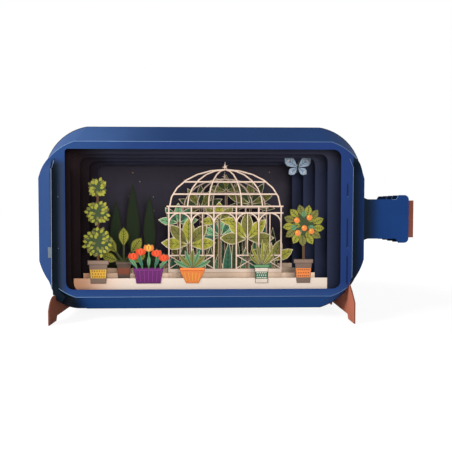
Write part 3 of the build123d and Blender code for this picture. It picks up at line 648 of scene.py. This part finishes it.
def pavilion_bars(x, ground, length, wall, dome, bays, rings, panels, inset):
    """Bars of a pavilion as outlines, narrower than its cut bars by twice the inset."""
    width, fine = LATTICE - 2 * inset, FINE_LATTICE - 2 * inset * 0.8
    half, eaves = length / 2, wall + FRIEZE
    bay = (length - LATTICE) / bays
    radius = bay / 2
    uprights, levels, curves = [], [], []

    def post(middle, low, high, thick):
        uprights.append(box_outline(middle - thick / 2, middle + thick / 2, ground + low, ground + high))

    def rail(left, right, height):
        levels.append(box_outline(left, right, ground + height - width / 2, ground + height + width / 2))

    for k in range(bays + 1):
        post(x - half + LATTICE / 2 + k * bay, PLINTH - inset, eaves, width)
    for height in (wall, eaves):
        rail(x - half - 1 + inset, x + half + 1 - inset, height)
    levels.append(box_outline(x - half + inset, x + half - inset, ground + 0.4, ground + PLINTH - inset))
    for k in range(bays):
        left = x - half + LATTICE / 2 + k * bay
        arch = [around(left + radius, ground + wall - radius, radius, math.pi * (1 - j / 24))
                for j in range(25)]
        curves += ribbons(arch, width * 0.9)
        if panels and 2 * k + 1 != bays:
            right = left + bay
            rail(left, right, DADO)
            curves.append(ribbon([(left, ground + PLINTH), (right, ground + DADO)], fine))
            curves.append(ribbon([(left, ground + DADO), (right, ground + PLINTH)], fine))
            post(left + radius, DADO, wall, fine)
    for share in (1, 0.68, 0.3):
        reach = share * (half - LATTICE)
        rib = [(x - reach * math.cos(math.pi * j / 12), ground + eaves + dome * math.sin(math.pi * j / 12))
               for j in range(13)]
        curves += ribbons(rib, width * 0.9)
    for k in range(1, rings + 1):
        height = dome * k / (rings + 1)
        ring = (half - LATTICE) * math.sqrt(1 - (height / dome) ** 2)
        rail(x - ring, x + ring, eaves + height)
    tip = ground + eaves + dome
    star = [around(x, tip + 1.7, reach, math.pi * k / 5) for k, reach in enumerate((0.7, 2.1) * 5)]
    uprights += [star, ribbon([(x, tip + 2), (x, tip + 5)], 0.4)]
    return uprights, levels, curves


def make_pavilions():
    """Cream lattice with a thin brown outline; the back pavilion's are darker copies, as painted shade."""
    ink = inks()
    # The back pavilion's cream and outline are darkened copies of the front one's: painted shade
    shapes = (("pavilion_front", 2, 14.0, 78.0, 41.0, 25.0, 5, 2, True, ink.lattice, ink.lattice_edge),
              ("pavilion_back", 3, 14.0, 60.0, 38.0, 20.0, 4, 1, False, shade(ink.lattice, 0.72),
               shade(ink.lattice_edge, 0.7)))
    for name, layer, x, length, wall, dome, bays, rings, panels, face, edge in shapes:
        ground = GROUND[layer - 1]
        lap = ((shade(ink.far_cream_lit, 0.8), ((2, up(ground + 0.3), up(ground + 0.2)),)),)
        dress(printed_card(f"{name}_outline", edge, patches=lap), name)
        cream = printed_card(f"{name}_print", face, mottling=0.05)
        groups = pavilion_bars(x, ground, length, wall, dome, bays, rings, panels, 0.2)
        for step, (kind, outlines) in enumerate(zip(("posts", "rails", "arches"), groups)):
            film(f"{name}_{kind}", outlines, cutout_face(layer) - BAR_STEP * step, cream, "lattice_card")


def paint(name, depth, slot, groups):
    """Printed colours on a cut-out: each group of outlines lies a little before the one painted earlier."""
    for step, (ink_name, factor, outlines) in enumerate(groups):
        if outlines:
            film(f"{name}_{step + 1}", outlines, depth - COAT_STEP * step, coat(ink_name, factor), slot)


def leaf_set(leaves, pairs=4, line=0.3):
    """Leaves given by base, angle, length, width and bend: their faces in two groups, and their ribs."""
    groups, ribs = ([], []), []
    for k, (base, angle, length, width, bend) in enumerate(leaves):
        groups[k % 2].append(leaf_outline(base, angle, length, width, bend))
        ribs += leaf_veins(base, angle, length, width, bend, pairs, line)
    return groups[0], groups[1], ribs


def thicket_prints(leaves, width):
    """Faces of the upright leaves of a thicket in three groups, and their ribs."""
    groups, ribs, inset = ([], [], []), [], 0.4
    for k, (x, height, lean) in enumerate(leaves):
        valley, shoulder, tip = [OPENING_BOTTOM + height * share for share in (0.42, 0.66, 1)]
        half, full = width / 2 - inset, width * 0.4 - inset * 0.8
        foot = OPENING_BOTTOM - 2
        groups[k % 3].append([(x - half, foot), (x + half, foot), (x + half, valley),
                              (x + full + lean / 2, shoulder), (x + lean, tip - 3 * inset),
                              (x - full + lean / 2, shoulder), (x - half, valley)])
        ribs.append(ribbon([(x, foot), (x + lean * 0.9, tip - 4 * inset)], 0.4))
        for j in range(7):
            low = OPENING_BOTTOM + height * (0.12 + 0.11 * j)
            reach = half * (0.82 if j < 4 else 0.82 - 0.2 * (j - 3))
            middle = x + lean * (0.12 + 0.11 * j)
            ribs += [ribbon([(middle, low), (middle + side * reach, low + 1.9)], 0.26) for side in (-1, 1)]
    return (*groups, ribs)


def make_foliage():
    """Leaves behind the lattice, each with a pale outline and dark ribs."""
    edges = printed_card("leaf_outline", inks().leaf_edge, 0.65)
    tones = {"lime": ("lime", "olive", "lime"), "teal": ("teal", "mint", "moss"),
             "olive": ("olive", "moss", "teal")}
    for name, (layer, behind, plants) in FOLIAGE.items():
        dress(edges, f"foliage_{name}")
        leaves, stems = [], []
        for x, height, count, spread, length, width in plants:
            crown = (x, OPENING_BOTTOM + height)
            stems.append(box_outline(x - 0.5, x + 0.5, OPENING_BOTTOM, crown[1] + 0.5))
            step = spread / (count - 1)
            leaves += [(crown, 90 - spread / 2 + k * step, length, width, 0) for k in range(count)]
        first, second, ribs = leaf_set(leaves)
        groups = []
        if name in THICKETS:
            width, upright = THICKETS[name]
            one, two, three, lines = thicket_prints(upright, width)
            groups = [(tones[name][0], 0.9, one), (tones[name][2], 1.0, two), (tones[name][1], 0.6, three),
                      ("moss", 0.6, lines)]
        groups += [("bark", 1.0, stems), (tones[name][0], 1.0, first), (tones[name][1], 1.0, second),
                   ("moss", 0.8, ribs)]
        paint(f"foliage_{name}", layer * PITCH + (behind + 1) * SHEET - ON_FACE, f"{name}_card", groups)


def pot_prints(x, ground, size, dots=True):
    """Rim, body, patterned band and its dots on a tapered pot."""
    height, top_width, bottom_width, rim_height = size
    inner = top_width / 2 - rim_height / 3
    rim_low, foot = ground + height - rim_height, ground - BASE_LAP

    def half(level):
        return bottom_width / 2 + (inner - bottom_width / 2) * (level - foot) / (rim_low - foot) - 0.3

    band = [foot + (rim_low - foot) * share for share in (0.28, 0.74)]
    body = taper(x, foot + 0.3, half(foot), rim_low - 0.3, half(rim_low))
    strip = taper(x, band[0], half(band[0]), band[1], half(band[1]))
    spots = []
    if dots:
        for row in range(3):
            level = band[0] + (band[1] - band[0]) * (row + 0.5) / 3
            reach = half(level) - 0.6
            count = 6 - row % 2
            spots += [disc(x - reach + 2 * reach * (k + 0.5) / count, level, 0.42, 6) for k in range(count)]
    rim = box_outline(x - top_width / 2 + 0.3, x + top_width / 2 - 0.3, rim_low + 0.2, ground + height - 0.3)
    return [rim], [body], [strip], spots


def spiral(x, y, radius, count):
    """Points spread evenly over a disc."""
    return [around(x, y, radius * math.sqrt(k / count), 1.2 + GOLDEN_ANGLE * k) for k in range(1, count + 1)]


def make_ball_topiary():
    """Clipped balls of small leaves on a brown trunk, in a pot."""
    x, ground = -70.0, GROUND[0]
    dress(potted("topiary_base", "olive", 0.8, "stone", 0.6, ground + 12), "ball_topiary")
    rim, body, band, spots = pot_prints(x, ground, (12.0, 14.0, 10.0, 2.8))
    shadows, dark, light = [], [], []
    trunk = [box_outline(x - 0.7, x + 0.7, ground + 11.5, ground + 60)]
    for height, radius in ((24.0, 9.8), (43.5, 8.0), (60.0, 6.2)):
        shadows.append(disc(x, ground + height, radius - 1.4, 28))
        for k, (u, v) in enumerate(spiral(x, ground + height, radius - 2.0, int(radius * 3.6))):
            turn = math.degrees(math.atan2(v - ground - height, u - x)) + (25 if k % 2 else -20)
            (light if k % 3 else dark).append(leaf_outline((u, v), turn, 3.4, 2.3, 0, 0.5, 6))
    paint("ball_topiary_print", cutout_face(1), "plant_card",
          [("bark", 1.0, trunk), ("stone", 1.0, body), ("stone", 1.25, rim), ("mustard", 1.0, band),
           ("bark", 0.8, spots), ("moss", 1.3, shadows), ("olive", 1.05, dark), ("lime", 1.0, light)])


def make_citrus_tree():
    """Round crown with fruit."""
    x, ground = 66.0, GROUND[0]
    crown = (x, ground + 35.0)
    dress(potted("citrus_base", "olive", 0.8, "stone", 0.6, ground + 12.5), "citrus_tree")
    rim, body, band, spots = pot_prints(x, ground, (12.5, 13.0, 9.0, 2.6))
    ring = []
    for k in range(13):
        angle = 360 * k / 13 + 12
        ring.append((around(*crown, 5.6, math.radians(angle)), angle + 12, 8.6, 5.2, 0))
    inner = []
    for k, (u, v) in enumerate(spiral(*crown, 4.6, 9)):
        angle = math.degrees(math.atan2(v - crown[1], u - crown[0])) + 40 * (k % 3 - 1)
        inner.append(((u, v), angle, 6.0, 3.8, 0))
    first, second, ribs = leaf_set(ring)
    third, fourth, more = leaf_set(inner, 3, 0.24)
    places = ((-4.6, 3.4), (3.8, 5.2), (0.4, -1.8), (5.2, -3.9), (-4.0, -5.0))
    fruit = [disc(x + u, crown[1] + v, 1.9) for u, v in places]
    glints = [disc(x + u - 0.6, crown[1] + v + 0.6, 0.55, 8) for u, v in places]
    trunk = [box_outline(x - 0.65, x + 0.65, ground + 12, ground + 30)]
    core = [disc(*crown, 7.0, 24)]
    paint("citrus_print", cutout_face(1), "plant_card",
          [("bark", 1.0, trunk), ("stone", 0.85, body), ("stone", 1.1, rim), ("orange", 1.0, band),
           ("bark", 0.7, spots), ("moss", 1.2, core), ("lime", 0.95, first), ("olive", 1.15, second),
           ("moss", 0.9, ribs), ("lime", 0.8, third), ("mint", 0.85, fourth), ("moss", 0.9, more),
           ("orange", 1.0, fruit), ("mustard", 1.4, glints)])


def make_tulip_planter():
    """Tulips in a purple trough."""
    x, ground = -37.0, GROUND[0]
    top = ground + 7.0
    dress(potted("tulip_base", "teal", 0.8, "purple", 0.6, top), "tulip_planter")
    trough = [taper(x, ground - 3.1, 7.7, top - 0.3, 9.7)]
    lines = [box_outline(x - 9.4, x + 9.4, top - 1.7, top - 1.25)]
    lines += [ribbon([(x + 2.6 * k, ground - 2.4), (x + 2.9 * k, top - 2.2)], 0.3) for k in range(-3, 4)]
    stems, leaves, outer, inner, hearts = [], [], [], [], []
    for k, (place_in, rise) in enumerate(((-7.6, 12.0), (-3.9, 15.0), (0.2, 17.5), (4.2, 14.0), (7.8, 11.0))):
        root, head = (x + place_in, top - 0.5), (x + place_in * 1.3, top + rise - 5.8)
        stems.append(ribbon([root, head], 0.8))
        leaves.append(((x + place_in * 0.9, top - 0.6), 90 - place_in * 4, 9.5, 2.6, -place_in / 4))
        base = (head[0], head[1] - 4.0 / 3)
        outer += [leaf_outline(base, angle, 5.8, 4.6) for angle in (62, 118)]
        inner.append(leaf_outline(base, 90, 5.6, 4.2))
        hearts.append(ribbon([(base[0], base[1] + 1.6), (base[0], base[1] + 4.2)], 0.34))
    first, second, ribs = leaf_set(leaves, 0, 0.24)
    paint("tulip_print", cutout_face(1), "plant_card",
          [("purple", 1.0, trough), ("purple", 1.9, lines), ("mint", 0.7, stems), ("mint", 0.9, first),
           ("teal", 1.2, second), ("moss", 0.9, ribs), ("red", 0.8, outer[:4]), ("orange", 0.9, outer[4:6]),
           ("red", 0.85, outer[6:]), ("red", 1.15, inner[:2]), ("mustard", 1.1, inner[2:3]),
           ("red", 1.1, inner[3:]), ("red", 0.55, hearts)])


def make_agave_bowl():
    """Orange bowl of stiff pale leaves."""
    x, ground = -8.0, GROUND[0]
    top = ground + 7.0
    dress(potted("agave_base", "leaf_edge", 0.7, "orange", 0.6, top), "agave_bowl")
    bowl = [[(x - 3.8, ground - 3.2), (x + 3.8, ground - 3.2), (x + 6.4, ground + 1.4),
             (x + 8.0, ground + 4.9), (x + 8.0, top - 0.2), (x - 8.0, top - 0.2), (x - 8.0, ground + 4.9),
             (x - 6.4, ground + 1.4)]]
    rim = [box_outline(x - 8.0, x + 8.0, top - 1.5, top - 0.25)]
    soil = [ribbon([(x - 7.4, top - 1.9), (x + 7.4, top - 1.9)], 0.3)]
    strokes = [ribbon([(x + 1.9 * k, ground - 1.6), (x + 2.6 * k, ground + 3.6)], 0.34) for k in range(-2, 3)]
    leaves = [((x, top - 0.8), 25 + 130 * k / 6, 13.5, 3.4, 0) for k in range(7)]
    first, second, ribs = leaf_set(leaves, 0, 0.36)
    paint("agave_print", cutout_face(1), "plant_card",
          [("mint", 0.85, first), ("olive", 1.25, second), ("moss", 1.2, ribs), ("orange", 0.95, bowl),
           ("orange", 1.2, rim), ("red", 0.7, soil), ("mustard", 1.1, strokes)])


def make_grass_pot():
    """Grass in a pale pot with a teal rim."""
    x, ground = 38.0, GROUND[0]
    dress(potted("grass_base", "leaf_edge", 0.7, "teal", 0.6, ground + 9), "grass_pot")
    rim, body, band, spots = pot_prints(x, ground, (9.0, 10.5, 8.4, 2.0))
    blades = ((152, 13.0, -4.2), (128, 15.5, -3.2), (106, 17.0, -1.6), (86, 18.0, 0.8), (66, 16.5, 2.2),
              (46, 15.0, 3.2), (26, 12.5, 4.0))
    leaves = [((x, ground + 8.0), angle, length, 2.1, bend) for angle, length, bend in blades]
    first, second, ribs = leaf_set(leaves, 0, 0.26)
    paint("grass_print", cutout_face(1), "plant_card",
          [("olive", 1.3, first), ("lime", 0.95, second), ("moss", 1.0, ribs), ("cream", 0.9, body),
           ("mint", 0.9, rim), ("teal", 1.1, band), ("cream", 1.0, spots)])


def make_broad_leaf_pot():
    """Broad leaves with dark veins."""
    x, ground = -55.0, GROUND[1]
    dress(potted("broad_base", "olive", 0.6, "stone", 0.45, ground + 8), "broad_leaf_pot")
    rim, body, band, _ = pot_prints(x, ground, (8.0, 11.0, 8.0, 2.2), False)
    root = (x, ground + 7.0)
    leaves, stalks = [], []
    for angle, stalk, length in ((20, 4.0, 12.0), (55, 8.0, 13.0), (90, 11.0, 13.5), (125, 8.0, 13.0),
                                 (160, 4.0, 12.0)):
        turn = math.radians(angle)
        end = around(*root, stalk, turn)
        stalks.append(ribbon([root, around(*end, 1.5, turn)], 0.8))
        leaves.append((end, angle, length, 7.4, 0))
    first, second, ribs = leaf_set(leaves, 5, 0.36)
    paint("broad_leaf_print", cutout_face(2), "plant_card",
          [("moss", 1.3, stalks), ("lime", 0.95, first), ("lime", 0.8, second), ("moss", 0.9, ribs),
           ("stone", 0.7, body), ("stone", 0.9, rim), ("terracotta", 0.5, band)])


def make_cypress_row():
    """Dark slender trees with a few lighter strokes."""
    ground = GROUND[3]
    dress(coat("moss", 0.5), "cypress_row")
    faces, strokes = [], []
    for x, height, width in ((-64.0, 46.0, 9.0), (-52.0, 58.0, 10.0), (-40.0, 50.0, 9.0)):
        base = (x, ground + 3.0)
        faces.append(leaf_outline(base, 90, height - 3.0, width, 0, 0.4, 16))
        for k in range(11):
            share = 0.12 + 0.068 * k
            reach = width * 0.28 * math.sin(math.pi * share ** 0.76)
            for side in (-1, 1):
                v = base[1] + share * (height - 3.0)
                strokes.append(ribbon([(x + side * 0.3, v), (x + side * reach, v + 2.6)], 0.4))
    hedge = [disc(-71 + 3.4 * k, ground + 3.4, 2.1, 10) for k in range(12)]
    paint("cypress_print", cutout_face(4), "dark_green_card",
          [("moss", 0.62, faces), ("teal", 0.3, strokes), ("moss", 0.8, hedge)])


def make_butterfly():
    """Pale blue butterfly."""
    x, y = 65.4, 36.0
    dress(coat("pale_blue", 0.75), "butterfly")
    wings, spots = [], []
    for turn, away, length, width in ((35, 5.6, 5.8, 3.6), (145, 5.6, 5.8, 3.6), (-38, 4.0, 4.0, 2.6),
                                      (218, 4.0, 4.0, 2.6)):
        angle = math.radians(turn)
        wings.append((around(x, y, away - length, angle), turn, 2 * length, 2 * width, 0))
        spots.append(disc(*around(x, y, away * 1.45, angle), width * 0.22, 8))
    first, second, ribs = leaf_set(wings, 4, 0.3)
    body = [ribbon([(x - 0.6, y - 3.4), (x + 0.6, y + 3.4)], 1.0)]
    paint("butterfly_print", cutout_face(3, 0), "pale_blue_card",
          [("pale_blue", 1.0, first + second), ("neck_blue", 1.2, ribs), ("cream", 1.0, spots),
           ("moss", 0.8, body)])


def make_stars():
    """A few tiny stars on the back panel."""
    rng = random.Random(prints().seed)
    groups = ([], [])
    for k in range(prints().stars):
        u, v = rng.uniform(-58, 48), rng.uniform(-4, 34)
        groups[k % 2].append(disc(u, v, rng.uniform(0.25, 0.45), 6))
    paint("stars", BACK_DEPTH - ON_FACE, "night_card",
          [("leaf_edge", 0.7, groups[0]), ("mustard", 0.6, groups[1])])


# Studio


def light_world(level):
    """World that lights the card evenly, and is white where the camera or a shiny surface sees it."""
    scene = bpy.context.scene
    scene.world = scene.world or bpy.data.worlds.new("Studio")
    scene.world.use_nodes = True
    tree = scene.world.node_tree
    tree.nodes.clear()
    path = tree.nodes.new("ShaderNodeLightPath")
    seen = path.outputs["Is Camera Ray"]
    for ray in ("Is Glossy Ray", "Is Transmission Ray"):
        either = tree.nodes.new("ShaderNodeMath")
        either.operation = "MAXIMUM"
        tree.links.new(seen, either.inputs[0])
        tree.links.new(path.outputs[ray], either.inputs[1])
        seen = either.outputs[0]
    mix = tree.nodes.new("ShaderNodeMixShader")
    tree.links.new(seen, mix.inputs[0])
    for place_in_mix, colour, strength in ((1, (0.95, 0.97, 1.0, 1), level), (2, (1, 1, 1, 1), 1.0)):
        light = tree.nodes.new("ShaderNodeBackground")
        light.inputs["Color"].default_value = colour
        light.inputs["Strength"].default_value = strength
        tree.links.new(light.outputs[0], mix.inputs[place_in_mix])
    out = tree.nodes.new("ShaderNodeOutputWorld")
    tree.links.new(mix.outputs[0], out.inputs[0])


def lay_floor(level, reach=6.0):
    """Pale floor that shows the card's shadow near it and turns white further away."""
    s = Shader("floor_paper")
    s.surface.inputs["Roughness"].default_value = 0.9
    s.surface.inputs["Specular IOR Level"].default_value = 0.0
    s.surface.inputs["Emission Color"].default_value = (1, 1, 1, 1)
    camera_ray = s.add("ShaderNodeLightPath").outputs["Is Camera Ray"]
    s.link(s.mix(camera_ray, (0.85, 0.85, 0.84), (0.22, 0.22, 0.22)), s.surface.inputs["Base Color"])
    away = s.add("ShaderNodeVectorMath", operation="LENGTH")
    s.link(s.point, away.inputs[0])
    glow = s.math("ADD", 0.88, s.math("MULTIPLY", s.ramp(away.outputs["Value"], 0.16, 0.34), 0.12))
    s.link(s.math("MULTIPLY", camera_ray, glow), s.surface.inputs["Emission Strength"])
    data = bpy.data.meshes.new("floor")
    data.from_pydata([(x, y, level) for x, y in ((-reach, -reach), (reach, -reach), (reach, reach),
                                                 (-reach, reach))], [], [(0, 1, 2, 3)])
    floor = bpy.data.objects.new("floor", data)
    bpy.context.scene.collection.objects.link(floor)
    data.materials.append(s.material)


def hang_lamp(name, centre, offset, size, power):
    """Square lamp that looks at the middle of the card."""
    lamp = bpy.data.lights.new(name, "AREA")
    lamp.size = size
    lamp.energy = power
    holder = bpy.data.objects.new(name, lamp)
    holder.location = centre + Vector(offset)
    holder.rotation_euler = (-Vector(offset)).to_track_quat("-Z", "Y").to_euler()
    bpy.context.scene.collection.objects.link(holder)


def set_camera(focal_length):
    """Camera in front of the card, a little above its middle."""
    camera = bpy.data.cameras.new("camera")
    camera.lens = focal_length
    camera.sensor_width = 36.0
    camera.shift_x = CAMERA_SHIFT
    camera.clip_start = 0.01
    holder = bpy.data.objects.new("camera", camera)
    holder.location = place(*CAMERA_PLACE)
    holder.rotation_euler = Euler((math.pi / 2 + CAMERA_TILT, 0.0, CAMERA_TURN), "XYZ")
    bpy.context.scene.collection.objects.link(holder)
    bpy.context.scene.camera = holder


def make_studio():
    """Pale floor and backdrop, soft lamps and the camera."""
    studio = bpy.context.scene.card_studio
    low, high = CARD_BOX
    centre = (low + high) / 2
    light_world(studio.world_level)
    lay_floor(low.z - FLOOR_GAP)
    hang_lamp("key_lamp", centre, (-0.80, -0.46, 0.38), 0.34, studio.key_power)
    hang_lamp("fill_lamp", centre, (0.20, -0.97, 0.10), 0.60, studio.fill_power)
    set_camera(studio.focal_length)
    bpy.context.scene.view_settings.view_transform = "Standard"


# Operators, the panel and what runs them


class CARD_OT_front_frame(Operator):
    """Blue front frame with worn creases"""

    bl_idname = "card.front_frame"
    bl_label = "Front frame"

    def execute(self, context):
        make_front_frame()
        return {"FINISHED"}


class CARD_OT_flaps(Operator):
    """Sloped flaps above and below the frame"""

    bl_idname = "card.flaps"
    bl_label = "Sloped flaps"

    def execute(self, context):
        make_flaps()
        return {"FINISHED"}


class CARD_OT_bottle_sheets(Operator):
    """Four layers and the back panel"""

    bl_idname = "card.bottle_sheets"
    bl_label = "Bottle sheets"

    def execute(self, context):
        make_bottle_sheets()
        return {"FINISHED"}


class CARD_OT_concertinas(Operator):
    """Folded side strips"""

    bl_idname = "card.concertinas"
    bl_label = "Concertinas"

    def execute(self, context):
        make_concertinas()
        return {"FINISHED"}


class CARD_OT_feet_and_corks(Operator):
    """Terracotta feet and corks"""

    bl_idname = "card.feet_and_corks"
    bl_label = "Feet and corks"

    def execute(self, context):
        make_feet_and_corks()
        return {"FINISHED"}


class CARD_OT_ground_strips(Operator):
    """Cream ground strips"""

    bl_idname = "card.ground_strips"
    bl_label = "Ground strips"

    def execute(self, context):
        make_ground_strips()
        return {"FINISHED"}


class CARD_OT_pavilions(Operator):
    """Lattice pavilions"""

    bl_idname = "card.pavilions"
    bl_label = "Pavilions"

    def execute(self, context):
        make_pavilions()
        return {"FINISHED"}


class CARD_OT_foliage(Operator):
    """Leaves behind the lattice"""

    bl_idname = "card.foliage"
    bl_label = "Foliage"

    def execute(self, context):
        make_foliage()
        return {"FINISHED"}


class CARD_OT_ball_topiary(Operator):
    """Clipped topiary in its pot"""

    bl_idname = "card.ball_topiary"
    bl_label = "Ball topiary"

    def execute(self, context):
        make_ball_topiary()
        return {"FINISHED"}


class CARD_OT_citrus_tree(Operator):
    """Round tree with fruit"""

    bl_idname = "card.citrus_tree"
    bl_label = "Citrus tree"

    def execute(self, context):
        make_citrus_tree()
        return {"FINISHED"}


class CARD_OT_tulip_planter(Operator):
    """Trough of tulips"""

    bl_idname = "card.tulip_planter"
    bl_label = "Tulip planter"

    def execute(self, context):
        make_tulip_planter()
        return {"FINISHED"}


class CARD_OT_agave_bowl(Operator):
    """Bowl of stiff leaves"""

    bl_idname = "card.agave_bowl"
    bl_label = "Agave bowl"

    def execute(self, context):
        make_agave_bowl()
        return {"FINISHED"}


class CARD_OT_grass_pot(Operator):
    """Pot of arching grass"""

    bl_idname = "card.grass_pot"
    bl_label = "Grass pot"

    def execute(self, context):
        make_grass_pot()
        return {"FINISHED"}


class CARD_OT_broad_leaf_pot(Operator):
    """Pot of broad leaves"""

    bl_idname = "card.broad_leaf_pot"
    bl_label = "Broad-leaved plant"

    def execute(self, context):
        make_broad_leaf_pot()
        return {"FINISHED"}


class CARD_OT_cypress_row(Operator):
    """Dark slender trees"""

    bl_idname = "card.cypress_row"
    bl_label = "Cypresses"

    def execute(self, context):
        make_cypress_row()
        return {"FINISHED"}


class CARD_OT_butterfly(Operator):
    """Butterfly in the upper corner"""

    bl_idname = "card.butterfly"
    bl_label = "Butterfly"

    def execute(self, context):
        make_butterfly()
        return {"FINISHED"}


class CARD_OT_stars(Operator):
    """Tiny stars on the back panel"""

    bl_idname = "card.stars"
    bl_label = "Stars"

    def execute(self, context):
        make_stars()
        return {"FINISHED"}


class CARD_OT_studio(Operator):
    """Floor, backdrop, lamps and camera"""

    bl_idname = "card.studio"
    bl_label = "Studio"

    def execute(self, context):
        make_studio()
        return {"FINISHED"}


class CARD_PT_sidebar(Panel):
    """Lists the card's pieces"""

    bl_label = "Bottle Garden Card"
    bl_idname = "CARD_PT_sidebar"
    bl_space_type = "VIEW_3D"
    bl_region_type = "UI"
    bl_category = "Card"

    def draw(self, context):
        for operator in OPERATORS:
            self.layout.operator(operator.bl_idname)


OPERATORS = (CARD_OT_front_frame, CARD_OT_flaps, CARD_OT_bottle_sheets, CARD_OT_concertinas,
             CARD_OT_feet_and_corks, CARD_OT_ground_strips, CARD_OT_pavilions, CARD_OT_foliage,
             CARD_OT_ball_topiary, CARD_OT_citrus_tree, CARD_OT_tulip_planter, CARD_OT_agave_bowl,
             CARD_OT_grass_pot, CARD_OT_broad_leaf_pot, CARD_OT_cypress_row, CARD_OT_butterfly,
             CARD_OT_stars, CARD_OT_studio)
CLASSES = (CardInks, CardPrint, CardStudio) + OPERATORS + (CARD_PT_sidebar,)


def register():
    for entry in CLASSES:
        bpy.utils.register_class(entry)
    bpy.types.Scene.card_inks = PointerProperty(type=CardInks)
    bpy.types.Scene.card_print = PointerProperty(type=CardPrint)
    bpy.types.Scene.card_studio = PointerProperty(type=CardStudio)


def unregister():
    del bpy.types.Scene.card_studio
    del bpy.types.Scene.card_print
    del bpy.types.Scene.card_inks
    for entry in reversed(CLASSES):
        bpy.utils.unregister_class(entry)


def main():
    register()
    for operator in OPERATORS:
        group, name = operator.bl_idname.split(".")
        getattr(getattr(bpy.ops, group), name)()


if __name__ == "__main__":
    main()
